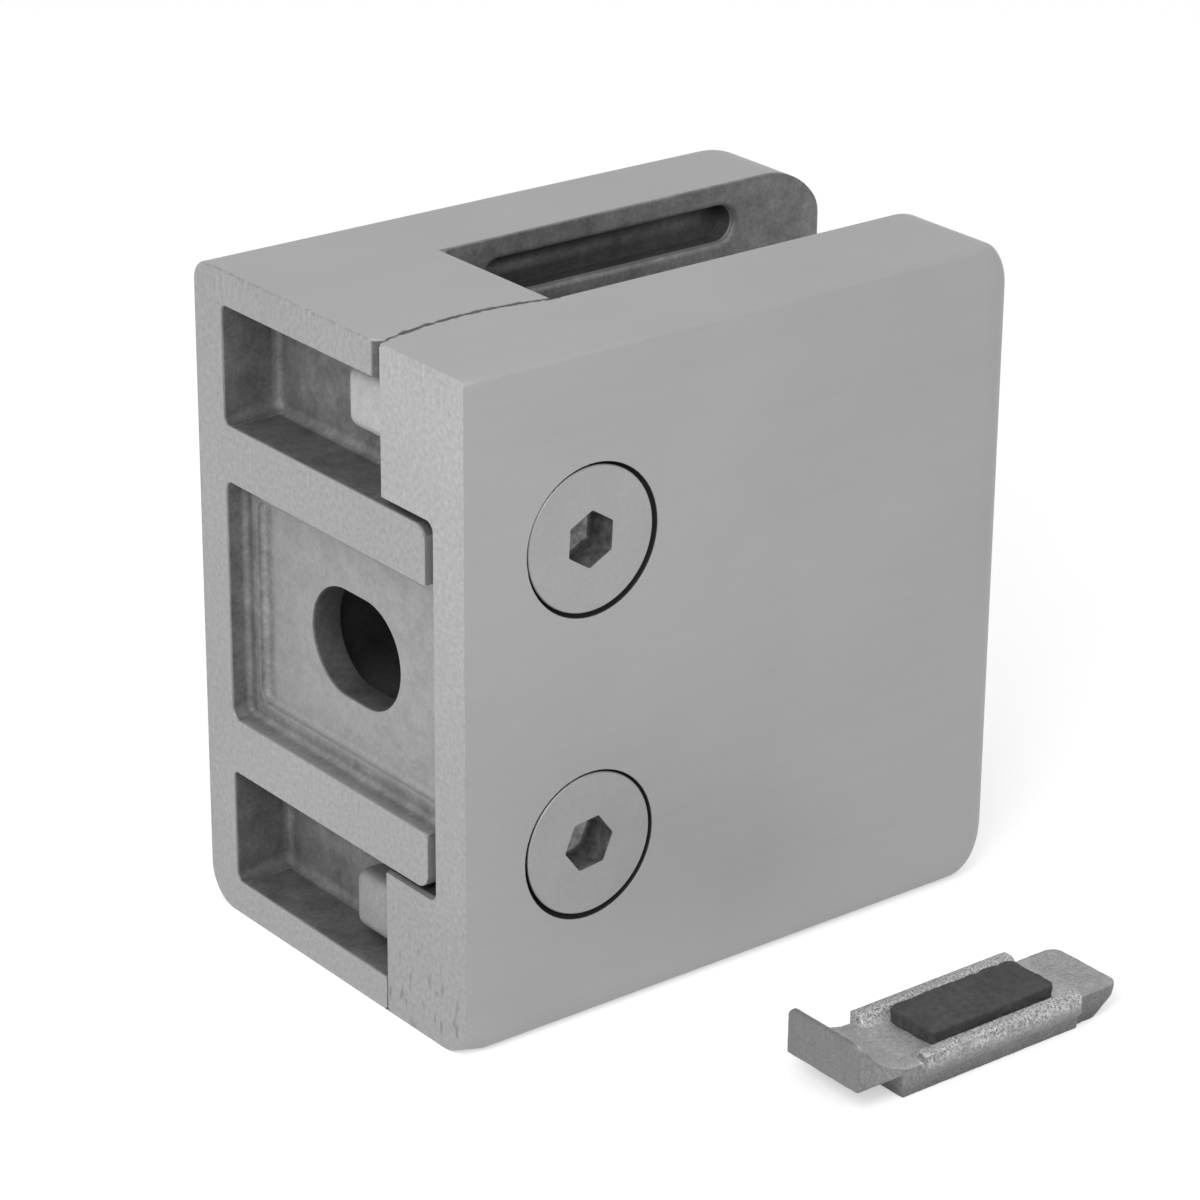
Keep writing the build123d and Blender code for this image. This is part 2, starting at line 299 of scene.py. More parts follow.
# areas left as cast, darker as cast zinc is, with painted shade in the hollows and painted light on some bands, lips
# and the lugs: low corner, high corner, level at the low x and at the high x, and for some how softly they end
bodyCastShadeAndLight = [
    *aboveAndBelow((0.10, -20.0, 14.7), (8.0, 14.5, 24.75), 0.22, 0.25),      # pockets above and below the ribs, with painted shade
    *aboveAndBelow((0.10, 12.9, 14.7), (5.0, 14.5, 24.75), 0.16, 0.18),       # their walls at the back, darker with painted shade
    ((0.10, -20.0, 14.0), (4.6, 12.9, 15.1), 0.16, 0.14),                     # and their lower walls, painted shade
    ((0.10, -20.0, -25.4), (4.6, 12.9, -24.3), 0.18, 0.16),
    ((0.10, -20.0, -10.4), (2.8, 14.5, 10.4), 0.28, 0.39),                    # middle pocket and its floor, with painted shade, lighter on the floor
    ((0.4, 11.0, -10.6), (3.2, 13.4, 10.4), 0.24, 0.30, 0.5),                 # painted shade, darker towards its back
    ((0.4, -20.0, -10.8), (3.2, 13.4, -8.6), 0.22, 0.31, 0.6),                # and painted shade along its bottom
    ((0.10, 12.8, -10.4), (2.6, 14.5, 10.4), 0.16, 0.22),                     # its wall at the back, painted shade
    ((2.62, -6.2, -4.8), (5.3, 6.2, 4.8), 0.14, 0.08),                        # bolt slot, painted shade darkening inwards
    ((5.1, -7.4, -8.2), (15.98, 7.4, 8.2), 0.04, 0.06),                       # pocket for the bolt's head, painted near-black shade
    ((-0.5, -8.0, 24.0), (1.3, -6.12, 27.42), 0.15, 0.10),                    # cut back end of the upper wall, painted shade
    ((15.85, -7.4, -28.0), (56.0, 7.4, 28.0), 0.17, 0.205),                   # walls of the glass slot, darker as cast and with painted shade
    *aboveAndBelow((18.0, 7.45, 21.8), (47.0, 9.5, 26.4), 0.05, 0.09),        # inlay grooves, painted near-black shade
    *aboveAndBelow((19.0, 7.6, 23.5), (43.6, 9.6, 24.9), 0.20, 0.13, 0.6),    # painted highlight: a lighter band along each groove's floor
    *aboveAndBelow((19.6, 6.8, 21.7), (46.0, 7.55, 22.8), 0.19, 0.22, 0.35),  # and a painted highlight on its rounded inner lip
]
coverCastShadeAndLight = [
    ((15.85, -7.4, -27.2), (54.2, -5.0, 27.2), 0.17, 0.205),                  # wall of the glass slot, darker as cast and with painted shade
    *aboveAndBelow((18.0, -9.5, 21.8), (47.0, -7.45, 26.4), 0.05, 0.09),      # inlay grooves, painted near-black shade
    ((1.0, -6.0, 17.0), (6.0, 2.0, 24.4), 0.53, 0.46),                        # lugs, painted light, the upper one lighter than the lower
    ((1.0, -6.0, -24.4), (6.0, 2.0, -17.0), 0.35, 0.31),
    ((0.5, -14.2, -15.7), (17.0, -7.0, 15.7), 0.10, 0.14),                    # inside of the notch, painted shade
]


def burrMask(material, position, axes, look):
    # burr along the post face's upper edge
    x, y, z = axes
    width, top = look["burrWidth"], look["topHeight"]
    broken = rampNode(material, noiseNode(material, position, look["burrPerMetre"], 3.0, 0.7), 0.45, 0.62)
    return product(material, rampBetween(material, x, (0.0, width), 1.0, 0.0),
                   rampBetween(material, z, (top - 2 * width, top)),
                   mathNode(material, "GREATER_THAN", y, look["burrBehind"] * mm), broken)


def sinkShadeMask(material, axes, look):
    # painted shade in the gaps of the countersinks round the screws' heads
    x, y, z = axes
    near = mathNode(material, "LESS_THAN", screwDistance(material, x, z), look["sinkRadius"] * mm)
    return product(material, near, rampBetween(material, y, look["sinkFront"]),
                   mathNode(material, "LESS_THAN", y, look["sinkBack"] * mm))


def seamDirtAndShadeMask(material, position, axes, look):
    # ragged dark seam where the cover's rocker bears on the body's seat, both round one upright line: dirt and
    # painted shade in the gap
    x, _, z = axes
    width = look["seamWidth"]
    flat = vectorNode(material, "MULTIPLY", position, (1.0, 1.0, 0.0)).outputs[0]
    centre = (look["seamCentre"][0] * mm, look["seamCentre"][1] * mm, 0.0)
    reach = vectorNode(material, "DISTANCE", flat, centre).outputs["Value"]
    fromArc = mathNode(material, "ABSOLUTE", mathNode(material, "SUBTRACT", reach, look["seamRadius"] * mm))
    noise = noiseNode(material, position, look["seamPerMetre"], 4.0, 0.75)
    ragged = spread(material, noise, *(value * mm for value in look["seamRagged"]))
    away = mathNode(material, "SUBTRACT", fromArc, ragged)
    return product(material, rampBetween(material, away, (0.5 * width, width), 1.0, 0.0),
                   mathNode(material, "LESS_THAN", x, look["seamEnd"] * mm),
                   mathNode(material, "GREATER_THAN", mathNode(material, "ABSOLUTE", z), look["seamStart"] * mm))


def castZinc(name, look, castShadeAndLight, paintedPostLight=(1.0, 1.0)):
    # the post face's levels at its bottom and top, painted light that makes it lighter upwards where they differ.
    # Where they differ it also has dashes low down
    material = newMaterial(name)
    position, axes = objectPosition(material)
    x, _, z = axes
    mottle = noiseNode(material, position, look["mottlePerMetre"], 4.0)
    grain = noiseNode(material, position, look["grainPerMetre"], 2.0)
    castGrain = noiseNode(material, position, look["castGrainPerMetre"], 3.0, 0.6)
    castPatch = noiseNode(material, position, look["castPatchPerMetre"], 4.0, 0.65)

    # faint streaks along the front, and saw marks on the post face
    tilted = addNode(material, "ShaderNodeMapping", {
        "Vector": position, "Rotation": (0.0, look["streakTilt"], 0.0), "Scale": look["streaks"]
    }).outputs[0]
    streaks = noiseNode(material, tilted, 1.0, 4.0, 0.7)
    saw = stretchedNoise(material, position, look["sawMarks"], 2.0, 0.5)
    post = rampBetween(material, x, look["sawnEnds"], 1.0, 0.0)
    sawMarks = mixNode(material, rampBetween(material, z, look["upperWall"]), 1.0, spread(material, saw, 0.94, 1.05))

    ground = product(material, spread(material, mottle, 0.975, 1.025),
                     rampNode(material, grain, 0.25, 0.75, 0.975, 1.025),
                     spread(material, streaks, 0.985, 1.015), look["groundLevel"])
    # the sawn post face, with painted light that makes the cover's lighter towards its top
    sawn = product(material, spread(material, mottle, 0.96, 1.04), rampNode(material, grain, 0.25, 0.75, 0.85, 1.15),
                   sawMarks, look["sawnLevel"], rampBetween(material, z, look["postLightEnds"], *paintedPostLight))
    if paintedPostLight[0] != paintedPostLight[1]:
        dashNoise = stretchedNoise(material, position, look["dashes"], 1.0)
        dashes = product(material, rampNode(material, dashNoise, 0.60, 0.68),
                         rampBetween(material, z, look["dashEnds"], 1.0, 0.0))
        sawn = product(material, sawn, rampNode(material, dashes, 0.0, 1.0, 1.0, look["dashLevel"]))
    level = mixNode(material, post, ground, sawn)
    burr = burrMask(material, position, axes, look)
    level = product(material, level, rampNode(material, burr, 0.0, 0.4, 1.0, look["burrLevel"]))

    # areas left as cast, with their painted shade and painted light
    castShade = product(material, spread(material, castGrain, 0.84, 1.16), spread(material, castPatch, 0.72, 1.28))
    calmShade = product(material, spread(material, castGrain, 0.92, 1.08), spread(material, castPatch, 0.90, 1.10))
    rough = None
    for low, high, lowLevel, highLevel, *fade in castShadeAndLight:
        mask = boxMask(material, position, low, high, fade[0] if fade else look["zoneFade"])
        shade = calmShade if lowLevel > look["calmAbove"] else castShade
        castShadeAndLightLevel = product(material, shade, rampBetween(material, x, (low[0], high[0]), lowLevel, highLevel))
        level = mixNode(material, mask, level, castShadeAndLightLevel)
        rough = mask if rough is None else mathNode(material, "MAXIMUM", rough, mask)
    # painted shade in the countersinks' gaps
    level = mixNode(material, sinkShadeMask(material, axes, look), level, look["sinkShadeLevel"])
    # dirt and painted shade along the seam
    level = mixNode(material, seamDirtAndShadeMask(material, position, axes, look), level, look["seamDirtAndShadeLevel"])

    fineHeight = mathNode(material, "ADD", product(material, grain, look["fineRelief"]),
                          product(material, post, saw, look["fineRelief"]))
    castHeight = mathNode(material, "ADD", product(material, castGrain, look["grainRelief"]),
                          product(material, castPatch, look["patchRelief"]))
    normal = bumpNode(material, mixNode(material, rough, fineHeight, castHeight), 0.6, 1.0)
    mean, change = look["groundRoughness"], look["roughnessChange"]
    roughness = mixNode(material, rough, spread(material, grain, mean - change, mean + change),
                        look["castRoughness"])
    return outputNode(material, greyNode(material, level, look["blue"]), look["metallic"], roughness, normal)


bodyZinc = castZinc("castZincBody", zincLook, bodyCastShadeAndLight)
# the cover's post face gets painted light, lighter towards its top
coverZinc = castZinc("castZincCover", zincLook, coverCastShadeAndLight, (0.95, 1.19))
print("zinc materials made")


# Clamp body and cover
castingShape = {
    "edgeWidth": 0.10, "edgeAngle": 40.0, "smoothAngle": 32.0,
    "lipWidth": 0.5, "lipSegments": 4,
    "grooveBox": ((20.0, 22.1), (45.4, 25.8)),                 # x and height of the upper inlay groove
    "seatStrip": ((5.05, -6.2, 14.8), (7.3, -5.9, 27.45)),     # corners of a box round a strip of the upper wall
    "cornerLength": 2.2,                                       # reach of the cover's low front corner
}


def onGrooveLip(first, second, face, shape):
    # both ends on the jaw's face, round one of its two grooves
    low, high = shape["grooveBox"]
    for corner in (first, second):
        inside = low[0] < corner.x < high[0] and low[1] - 0.05 < abs(corner.z) < high[1] + 0.05
        if abs(corner.y - face) > 0.01 or not inside:
            return False
    return first.z * second.z > 0


# roundings that differ at the post face: plane at y, plane at z, 1 or -1 as the corner lies on that plane's
# outer or inner side, radius in the solid, and radius at the post face
postRoundings = {
    "clamp_body": [(17.5, 27.5, 1.0, 2.8, 1.9), (17.5, -27.5, 1.0, 2.8, 3.2)] + [
        (13.8, side * plane, outer, 1.2, radius) for side in (1.0, -1.0)
        for plane, outer, radius in ((14.85, -1.0, 0.5), (24.6, 1.0, 0.6), (10.15, 1.0, 0.8))
    ],
    "clamp_cover": [(-17.5, -27.5, 1.0, 1.6, 3.0)],
}


def roundAtPost(piece, planeY, planeZ, outer, oldRadius, newRadius):
    # moves a rounding's corners that lie in the post face onto the new radius
    ySide, zSide = math.copysign(1.0, planeY), math.copysign(1.0, planeZ)
    scale = newRadius / oldRadius
    for vertex in piece.data.vertices:
        x, y, z = vertex.co / mm
        outY = (y - planeY) * ySide + oldRadius
        outZ = (z - planeZ) * zSide * outer + oldRadius
        if x < 0.01 and outY > -0.01 and outZ > -0.01 and abs(math.hypot(outY, outZ) - oldRadius) < 0.02:
            newY = planeY + ySide * (outY * scale - newRadius)
            newZ = planeZ + zSide * outer * (outZ * scale - newRadius)
            vertex.co = Vector((x, newY, newZ)) * mm


def splitAcross(piece, distance):
    # an edge loop across the piece, this far from the post face
    startEdit(piece, "SELECT")
    bpy.ops.mesh.bisect(plane_co=(distance * mm, 0.0, 0.0), plane_no=(1.0, 0.0, 0.0))
    bpy.ops.object.mode_set(mode="OBJECT")


def joinSeatStrip(piece, low, high):
    # slivers on the seat beside a pocket's edge, joined to one face above and one below
    for side in (1.0, -1.0):
        startEdit(piece, "DESELECT", "FACE")
        skin = bmesh.from_edit_mesh(piece.data)
        for face in skin.faces:
            corners = [Vector((corner.co.x, corner.co.y, corner.co.z * side)) / mm for corner in face.verts]
            inside = all(a < value < b for corner in corners for a, value, b in zip(low, corner, high))
            face.select_set(inside and abs(face.normal.y) > 0.8)
        bmesh.update_edit_mesh(piece.data)
        bpy.ops.mesh.dissolve_faces()
        bpy.ops.object.mode_set(mode="OBJECT")


def breakEdges(piece, shape):
    applyModifier(piece, "broken edges", "BEVEL", width=shape["edgeWidth"] * mm, segments=2,
                  limit_method="ANGLE", angle_limit=math.radians(shape["edgeAngle"]), use_clamp_overlap=False)
    joinSeatStrip(piece, *shape["seatStrip"])
    makeActive(piece)
    bpy.ops.object.shade_smooth_by_angle(angle=math.radians(shape["smoothAngle"]))
    applyModifier(piece, "even shading", "WEIGHTED_NORMAL", keep_sharp=True, weight=80)


def makeCasting(nodeName, pieceName, face, material, body, shape):
    piece = copyOfNode(nodeName, pieceName)
    bevelChosenEdges(piece, lambda first, second: onGrooveLip(first, second, face, shape),
                     shape["lipWidth"], shape["lipSegments"])
    if nodeName == "clamp_cover":
        splitAcross(piece, shape["cornerLength"])
    for rounding in postRoundings[nodeName]:
        roundAtPost(piece, *rounding)
    breakEdges(piece, shape)
    finishPiece(piece, material, body, nodeName)
    print(pieceName, "refined:", len(piece.data.polygons), "faces")


makeCasting("clamp_body", "castBody", 7.0, bodyZinc, "clamp", castingShape)
makeCasting("clamp_cover", "castCover", -7.0, coverZinc, "cover", castingShape)


# Countersunk socket screws, modelled once in millimetres about the Z axis, point upwards
screwShape = {
    "headRadius": 5.8, "rimHeight": 0.5, "rimRound": 0.08, "shankRadius": 3.0, "length": 16.0, "headSteps": 96,
    "threadRadius": 2.97, "rootRadius": 2.43, "pitch": 1.0, "threadStart": 3.9, "tipChamfer": 0.8,
    "threadRise": (0.25, 0.56, 0.69), "threadSteps": 36,      # foot, crest and crest's end, as parts of the pitch
    "socketWidth": 4.0, "socketDepth": 3.1, "socketPoint": 0.6, "pointScale": 0.04, "socketRound": 0.12,
    "headFront": -17.35,
}
screwPlaces = {
    "upperScrew": {"node": "upper_screw", "body": "screw_upper", "height": screwAxis["z"], "turn": 3.0},
    "lowerScrew": {"node": "lower_screw", "body": "screw_lower", "height": -screwAxis["z"], "turn": 23.0},
}


def drawLine(name, points):
    # a line of (radius, height) points, drawn by extruding one point onwards
    deselectAll()
    bpy.ops.mesh.primitive_plane_add(size=0.1)
    line = bpy.context.active_object
    line.name = name
    startEdit(line, "SELECT", "VERT")
    bpy.ops.mesh.merge(type="CENTER")
    bpy.ops.transform.translate(value=(points[0][0], 0.0, points[0][1]))
    for before, after in zip(points, points[1:]):
        step = (after[0] - before[0], 0.0, after[1] - before[1])
        bpy.ops.mesh.extrude_vertices_move(TRANSFORM_OT_translate={"value": step})
    bpy.ops.object.mode_set(mode="OBJECT")
    return line


def closeSkin(piece, distance=1e-4):
    startEdit(piece, "SELECT")
    bpy.ops.mesh.remove_doubles(threshold=distance)
    bpy.ops.mesh.normals_make_consistent(inside=False)
    bpy.ops.object.mode_set(mode="OBJECT")


def cutWith(piece, tool, operation):
    applyModifier(piece, tool.name, "BOOLEAN", operation=operation, object=tool, solver="EXACT")
    bpy.data.objects.remove(tool, do_unlink=True)


def makeBlank(shape):
    head, shank, rim, length = shape["headRadius"], shape["shankRadius"], shape["rimHeight"], shape["length"]
    edge, chamfer = shape["rimRound"], shape["tipChamfer"]
    blank = drawLine("screwBlank", [
        (0.0, 0.0), (head - edge, 0.0), (head, edge), (head, rim), (shank, rim + head - shank),
        (shank, length - chamfer), (shank - chamfer, length), (0.0, length)
    ])
    applyModifier(blank, "turned", "SCREW", steps=shape["headSteps"], render_steps=shape["headSteps"],
                  use_merge_vertices=True, merge_threshold=1e-4)
    closeSkin(blank)
    return blank


def makeThread(shape):
    # one pitch of the thread, wound up the shank and cut off square at both ends
    crest, root, pitch, steps = shape["threadRadius"], shape["rootRadius"], shape["pitch"], shape["threadSteps"]
    foot, rise, fall = (part * pitch for part in shape["threadRise"])
    start, end = shape["threadStart"] - 1.5, shape["length"] + 0.5
    turns = math.ceil(end - start) + 3
    thread = drawLine("thread", [(root, 0.0), (root, foot), (crest, rise), (crest, fall), (root, pitch)])
    thread.location.z = start - 1.5 * pitch
    applyPlace(thread)
    applyModifier(thread, "wound", "SCREW", screw_offset=pitch, iterations=turns, steps=steps, render_steps=steps)
    closeSkin(thread)
    for height, side in ((start, -1.0), (end, 1.0)):
        startEdit(thread, "SELECT")
        bpy.ops.mesh.bisect(plane_co=(0.0, 0.0, height), plane_no=(0.0, 0.0, side), use_fill=True, clear_outer=True)
        bpy.ops.object.mode_set(mode="OBJECT")
    closeSkin(thread)
    return thread


def makeSocket(shape):
    # hexagon with slightly rounded corners and the drill's point at its bottom
    deselectAll()
    depth = shape["socketDepth"]
    bpy.ops.mesh.primitive_cylinder_add(vertices=6, radius=shape["socketWidth"] / math.sqrt(3), depth=depth + 1.0,
                                        location=(0.0, 0.0, (depth - 1.0) / 2))
    socket = bpy.context.active_object
    socket.name = "socket"
    applyPlace(socket)
    startEdit(socket, "DESELECT", "FACE")
    skin = bmesh.from_edit_mesh(socket.data)
    for face in skin.faces:
        face.select_set(face.normal.z > 0.9)
    bmesh.update_edit_mesh(socket.data)
    bpy.ops.mesh.extrude_region_move(TRANSFORM_OT_translate={"value": (0.0, 0.0, shape["socketPoint"])})
    bpy.ops.transform.resize(value=(shape["pointScale"], shape["pointScale"], 1.0))
    bpy.ops.mesh.select_mode(type="EDGE")
    bpy.ops.mesh.select_all(action="DESELECT")
    for edge in bmesh.from_edit_mesh(socket.data).edges:
        first, second = (corner.co for corner in edge.verts)
        edge.select_set((first.xy - second.xy).length < 1e-4 and abs(first.z - second.z) > 1.0)
    bmesh.update_edit_mesh(socket.data)
    bpy.ops.mesh.bevel(offset=shape["socketRound"], segments=2, affect="EDGES")
    bpy.ops.object.mode_set(mode="OBJECT")
    return socket


def makeScrewPattern(shape):
    screw = makeThread(shape)
    deselectAll()
    start = shape["threadStart"]
    bpy.ops.mesh.primitive_cylinder_add(vertices=48, radius=shape["headRadius"] + 1.0, depth=start + 1.0,
                                        location=(0.0, 0.0, (start - 1.0) / 2))
    cutWith(screw, bpy.context.active_object, "UNION")
    cutWith(screw, makeBlank(shape), "INTERSECT")
    cutWith(screw, makeSocket(shape), "DIFFERENCE")
    closeSkin(screw, 2e-3)
    screw.name = "screwPattern"
    return screw


def placeScrew(pattern, pieceName, place, shape, material):
    screw = newObject(pieceName, pattern.data.copy())
    # the socket's turn is about the screw's own axis, which comes to lie along Y
    screw.matrix_world = (
        Matrix.Translation(Vector((screwAxis["x"], shape["headFront"], place["height"])) * mm)
        @ Matrix.Rotation(math.radians(-90.0), 4, "X") @ Matrix.Rotation(math.radians(place["turn"]), 4, "Z")
        @ Matrix.Scale(mm, 4)
    )
    applyPlace(screw)
    bpy.ops.object.shade_smooth_by_angle(angle=math.radians(28.0))
    finishPiece(screw, material, place["body"], place["node"])
    print(pieceName, "made:", len(screw.data.polygons), "faces")


steelLook = {
    "headLevel": 0.37, "socketShadeLevel": 0.17, "floorLevel": 0.40, "threadLevel": 0.28, "ringShadeLevel": 0.03,
    "metallic": 0.6, "roughness": 0.5,
    "grainPerMetre": 2300.0, "mottlePerMetre": 300.0, "patchPerMetre": 1300.0,
    # from the axis, and behind the head's front, in millimetres
    "socketRim": (2.34, 2.40), "mouthDepth": (0.03, 0.12), "floorDepth": (2.6, 3.0),
    "threadRim": (2.38, 2.41), "threadDepth": (3.3, 3.6), "ringRim": (3.1, 3.3), "ringDepth": (0.10, 0.30),
}


def screwSteel(look, shape):
    material = newMaterial("screwSteel")
    position, (x, y, z) = objectPosition(material)
    reach = screwDistance(material, x, z)
    depth = mathNode(material, "SUBTRACT", y, shape["headFront"] * mm)
    grain = noiseNode(material, position, look["grainPerMetre"], 3.0)
    mottle = noiseNode(material, position, look["mottlePerMetre"], 3.0)
    patch = noiseNode(material, position, look["patchPerMetre"], 3.0, 0.6)

    level = product(material, spread(material, grain, 0.97, 1.03), spread(material, mottle, 0.97, 1.03),
                    look["headLevel"])
    # painted shade inside the hexagon socket, blotchy, lighter towards its floor
    inside = product(material, rampBetween(material, reach, look["socketRim"], 1.0, 0.0),
                     rampBetween(material, depth, look["mouthDepth"]))
    socket = product(material, rampNode(material, patch, 0.35, 0.65, 0.6, 1.5),
                     rampBetween(material, depth, look["floorDepth"], look["socketShadeLevel"], look["floorLevel"]))
    level = mixNode(material, inside, level, socket)
    shank = product(material, rampBetween(material, depth, look["threadDepth"]),
                    rampBetween(material, reach, look["threadRim"]))
    level = mixNode(material, shank, level, look["threadLevel"])
    # painted shade on the rim and cone, which lie in a gap
    ringShade = product(material, rampBetween(material, depth, look["ringDepth"]),
                   rampBetween(material, reach, look["ringRim"]))
    level = mixNode(material, ringShade, level, look["ringShadeLevel"])
    normal = bumpNode(material, mathNode(material, "ADD", grain, product(material, inside, patch)), 0.2, 0.03)
    return outputNode(material, greyNode(material, level), look["metallic"], look["roughness"], normal)


screwPattern = makeScrewPattern(screwShape)
steel = screwSteel(steelLook, screwShape)
for pieceName, place in screwPlaces.items():
    placeScrew(screwPattern, pieceName, place, screwShape, steel)
bpy.data.objects.remove(screwPattern, do_unlink=True)


# Safety plate: the casting's edges softened and its skin made uneven
plateShape = {
    "voxel": 0.14, "softSteps": 4, "lumpSize": 0.8, "lumpHeight": 0.07,
    "thickness": 2.4, "hookTop": 5.9, "hookFront": 0.2, "hookDepth": 0.9, "hookThinned": 0.75, "middle": 4.5,
    "ribStart": 6.6, "ribEnd": 22.6, "ribInner": 3.2, "ribFoot": 0.75, "ribRise": 0.6,
    "footBelow": 0.4, "footPower": 1.6,      # how far under the web's top the foot starts, and how hollow it is
}
plateLook = {
    "webLevel": 0.43, "noseShade": 0.75, "ribLevel": 0.43, "hookLevel": 0.21, "sideShadeLevel": 0.235,
    "metallic": 0.35, "roughness": 0.45, "blue": 1.01,
    "grainPerMetre": 4600.0, "lumpsAndGlintsPerMetre": 5600.0, "patchPerMetre": 500.0, "brush": (1500.0, 4200.0, 260.0),
    # where one look gives way to the next, in millimetres from the plate's low corner, and ribSides from its middle
    "sideShadeHeights": (0.0, 1.6), "ribSides": (2.1, 3.1), "ribStart": (6.3, 6.7), "ribEnd": (22.4, 22.8),
    "ribHeights": (1.7, 2.5), "hookFront": (0.15, 0.35), "noseStart": (22.5, 24.0),
    "grainRelief": 0.03, "lumpRelief": 0.05,
}


def lumpTexture(name, size):
    lumps = bpy.data.textures.new(name, "CLOUDS")
    lumps.noise_scale = size
    lumps.noise_depth = 2
    return lumps


def softenCasting(piece, shape, low, high):
    # worked in millimetres, then brought back to metres and kept between low and high
    piece.scale = (1 / mm,) * 3
    applyPlace(piece)
    applyModifier(piece, "even skin", "REMESH", mode="VOXEL", voxel_size=shape["voxel"], use_smooth_shade=True)
    applyModifier(piece, "soft edges", "SMOOTH", factor=0.5, iterations=shape["softSteps"])
    applyModifier(piece, "lumps", "DISPLACE", texture=lumpTexture(piece.name + "Lumps", shape["lumpSize"]),
                  texture_coords="LOCAL", strength=shape["lumpHeight"], mid_level=0.5)
    piece.scale = (mm,) * 3
    applyPlace(piece)
    for vertex in piece.data.vertices:
        vertex.co = [limited(value, least, most) for value, least, most in zip(vertex.co, low, high)]


def shapePlate(piece, shape, low):
    # the hook thins towards its top, and a soft foot joins each rib to the web. Sizes from the plate's corner
    for vertex in piece.data.vertices:
        x, y, z = (vertex.co - Vector(low)) / mm
        lift = limited((z - shape["thickness"]) / (shape["hookTop"] - shape["thickness"]))
        back = limited((x - shape["hookFront"]) / shape["hookDepth"])
        if x < shape["ribStart"]:
            x -= shape["hookThinned"] * lift * back
        foot = (abs(y - shape["middle"]) - shape["ribInner"] + shape["ribFoot"]) / shape["ribFoot"]
        onRib = shape["ribStart"] < x < shape["ribEnd"] and foot > 0.0
        if onRib and z > shape["thickness"] - shape["footBelow"]:
            z = max(z, shape["thickness"] + shape["ribRise"] * min(foot, 1.0) ** shape["footPower"])
        vertex.co = Vector(low) + Vector((x, y, z)) * mm


def plateZinc(look, low, high):
    material = newMaterial("plateZinc")
    position, (x, y, z) = objectPosition(material)
    facing = addNode(material, "ShaderNodeTexCoord").outputs["Normal"]
    upward = rampNode(material, addNode(material, "ShaderNodeSeparateXYZ", {0: facing}).outputs[2], 0.35, 0.75)
    grain = noiseNode(material, position, look["grainPerMetre"], 3.0, 0.6)
    lumpsAndGlints = noiseNode(material, position, look["lumpsAndGlintsPerMetre"], 2.0, 0.6)
    patch = noiseNode(material, position, look["patchPerMetre"], 3.0)
    brush = stretchedNoise(material, position, look["brush"], 3.0)

    # the ribs, and the hook's outer face
    aside = mathNode(material, "ABSOLUTE", mathNode(material, "SUBTRACT", y, (low[1] + high[1]) / 2))
    rib = product(material, rampBetween(material, aside, look["ribSides"]),
                  rampBetween(material, x, look["ribStart"], start=low[0]),
                  rampBetween(material, x, look["ribEnd"], 1.0, 0.0, start=low[0]),
                  rampBetween(material, z, look["ribHeights"], start=low[2]))
    hook = rampBetween(material, x, look["hookFront"], 1.0, 0.0, start=low[0])

    # painted shade: sides darker than the upward faces, and darker still towards the bottom
    shadedSides = product(material, rampBetween(material, z, look["sideShadeHeights"], 0.55, 1.0, start=low[2]),
                    look["sideShadeLevel"])
    level = product(material, spread(material, grain, 0.72, 1.28), spread(material, patch, 0.9, 1.1),
                    mixNode(material, upward, shadedSides, look["webLevel"]),
                    rampBetween(material, x, look["noseStart"], 1.0, look["noseShade"], start=low[0]))
    # painted glints: bright specks on part of the ribs' lumps, whose noise also gives their relief
    paintedGlints = mixNode(material, rampNode(material, patch, 0.28, 0.45), spread(material, lumpsAndGlints, 0.85, 1.12),
                     rampNode(material, lumpsAndGlints, 0.36, 0.64, 0.42, 1.60))
    level = mixNode(material, rib, level, product(material, paintedGlints, look["ribLevel"]))
    brushed = product(material, spread(material, brush, 0.92, 1.08), spread(material, grain, 0.84, 1.16),
                      look["hookLevel"])
    level = mixNode(material, hook, level, brushed)
    height = mathNode(material, "ADD", product(material, grain, look["grainRelief"]),
                      product(material, rib, lumpsAndGlints, look["lumpRelief"]))
    normal = bumpNode(material, height, 0.7, 1.0)
    return outputNode(material, greyNode(material, level, look["blue"]), look["metallic"], look["roughness"], normal)


platePiece = copyOfNode("safety_plate", "plateCasting")
softenCasting(platePiece, plateShape, *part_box("safety_plate"))
shapePlate(platePiece, plateShape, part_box("safety_plate")[0])
makeActive(platePiece)
bpy.ops.object.shade_smooth()
finishPiece(platePiece, plateZinc(plateLook, *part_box("safety_plate")), "clamp", "safety_plate")
print("plateCasting made:", len(platePiece.data.polygons), "faces")


# Rubber pad: a cut block, its outline a little uneven
padShape = {"corner": 0.75, "voxel": 0.12, "softSteps": 1, "lumpSize": 0.9, "lumpHeight": 0.26, "room": 0.2}
padLook = {"grainPerMetre": 1900.0, "patchPerMetre": 400.0, "levels": (0.035, 0.075), "roughness": 0.75}


def blackRubber(look):
    material = newMaterial("padRubber")
    position = addNode(material, "ShaderNodeTexCoord").outputs["Object"]
    grain = noiseNode(material, position, look["grainPerMetre"], 4.0, 0.7)
    patch = noiseNode(material, position, look["patchPerMetre"], 3.0)
    level = product(material, rampNode(material, grain, 0.3, 0.75, *look["levels"]),
                    spread(material, patch, 0.85, 1.2))
    normal = bumpNode(material, grain, 0.5, 0.08)
    return outputNode(material, greyNode(material, level), 0.0, look["roughness"], normal)


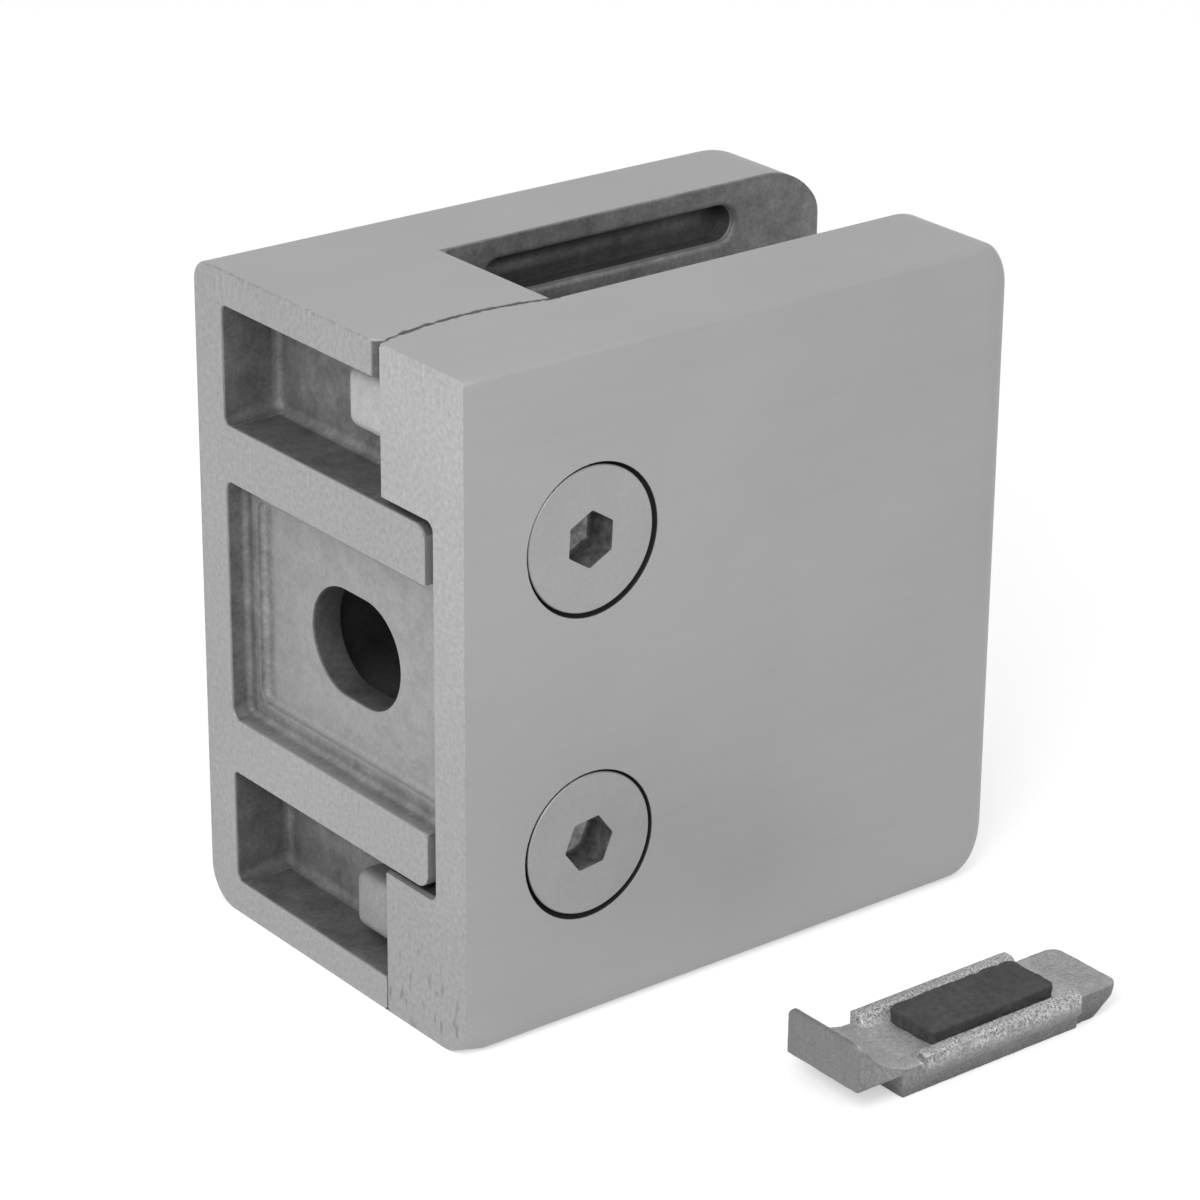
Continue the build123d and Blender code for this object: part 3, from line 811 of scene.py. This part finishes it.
def makePad(shape, look):
    # its uneven skin may leave the solid a little, but not downwards
    low, high = (Vector(corner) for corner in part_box("plate_pad"))
    deselectAll()
    bpy.ops.mesh.primitive_cube_add(size=1.0, location=(low + high) / 2)
    pad = bpy.context.active_object
    pad.name = "rubberPad"
    pad.scale = high - low
    applyPlace(pad)
    bevelChosenEdges(pad, lambda first, second: abs(first.z - second.z) > 0.5, shape["corner"], 3)
    room = shape["room"]
    softenCasting(pad, shape, low - Vector((room, room, 0.0)) * mm, high + Vector((room, room, room)) * mm)
    finishPiece(pad, blackRubber(look), "clamp", "plate_pad")
    print("rubberPad made:", len(pad.data.polygons), "faces")


makePad(padShape, padLook)


# Floor, light and camera
studio = {
    "floorSize": 6.0, "floorPlace": (0.0275, 0.0), "floorColor": 0.80, "floorGlow": 0.45, "worldLight": 0.62,
    "keyPlace": (-0.115, -0.11, 0.135), "keySize": 0.10, "keyPower": 0.19,
    "fillPlace": (0.05, -0.45, 0.35), "fillSize": 0.40, "fillPower": 0.20,
    "target": (0.01, -0.01, 0.01),
}


def makeFloor(settings):
    deselectAll()
    bpy.ops.mesh.primitive_plane_add(size=settings["floorSize"], location=(*settings["floorPlace"], cadBox[0][2]))
    floor = bpy.context.active_object
    floor.name = "floor"
    applyPlace(floor)
    material = newMaterial("paleFloor")
    glow = product(material, seenDirectly(material), settings["floorGlow"])
    surface = addNode(material, "ShaderNodeBsdfPrincipled", {
        "Base Color": (settings["floorColor"],) * 3 + (1.0,), "Roughness": 0.9,
        "Emission Color": (1.0, 1.0, 1.0, 1.0), "Emission Strength": glow
    })
    addNode(material, "ShaderNodeOutputMaterial", {"Surface": surface.outputs[0]})
    floor.data.materials.append(material)


def makeWorld(settings):
    world = bpy.data.worlds.new("softStudio")
    bpy.context.scene.world = world
    world.use_nodes = True
    world.node_tree.nodes.clear()
    strength = rampNode(world, seenDirectly(world), 0.0, 1.0, settings["worldLight"], 1.0)
    background = addNode(world, "ShaderNodeBackground", {"Color": (1.0, 1.0, 1.0, 1.0), "Strength": strength})
    addNode(world, "ShaderNodeOutputWorld", {"Surface": background.outputs[0]})


def areaLight(name, location, target, size, power):
    data = bpy.data.lights.new(name, "AREA")
    data.shape = "SQUARE"
    data.size = size
    data.energy = power
    lamp = newObject(name, data)
    lamp.location = location
    lamp.rotation_euler = (Vector(target) - Vector(location)).to_track_quat("-Z", "Y").to_euler()


cameraView = {
    "azimuth": -38.096, "elevation": 23.213, "roll": 0.453,
    "target": (27.5, -2.1, 0.0), "distance": 337.9, "pan": (2.274, 1.503),      # millimetres
    "focalPixels": 4242.6, "imagePixels": 1200, "sensor": 36.0,
}


def makeCamera(view):
    azimuth, elevation, roll = (math.radians(view[key]) for key in ("azimuth", "elevation", "roll"))
    level = Vector((math.cos(azimuth), math.sin(azimuth), 0.0))
    forward = Vector((-math.sin(azimuth) * math.cos(elevation), math.cos(azimuth) * math.cos(elevation),
                      -math.sin(elevation)))
    upward = level.cross(forward)
    right = level * math.cos(roll) + upward * math.sin(roll)
    up = upward * math.cos(roll) - level * math.sin(roll)
    place = Vector(view["target"]) - forward * view["distance"] - right * view["pan"][0] - up * view["pan"][1]
    data = bpy.data.cameras.new("camera")
    data.sensor_width = view["sensor"]
    data.lens = view["focalPixels"] / view["imagePixels"] * view["sensor"]
    data.clip_start = 0.01
    camera = newObject("camera", data)
    turn = Matrix((right, up, -forward)).transposed().to_4x4()
    camera.matrix_world = Matrix.Translation(place * mm) @ turn
    bpy.context.scene.camera = camera


makeFloor(studio)
makeWorld(studio)
for side in ("key", "fill"):
    areaLight(side + "Light", studio[side + "Place"], studio["target"],
              studio[side + "Size"], studio[side + "Power"])
makeCamera(cameraView)
bpy.context.scene.view_settings.view_transform = "Standard"
print("studio ready")
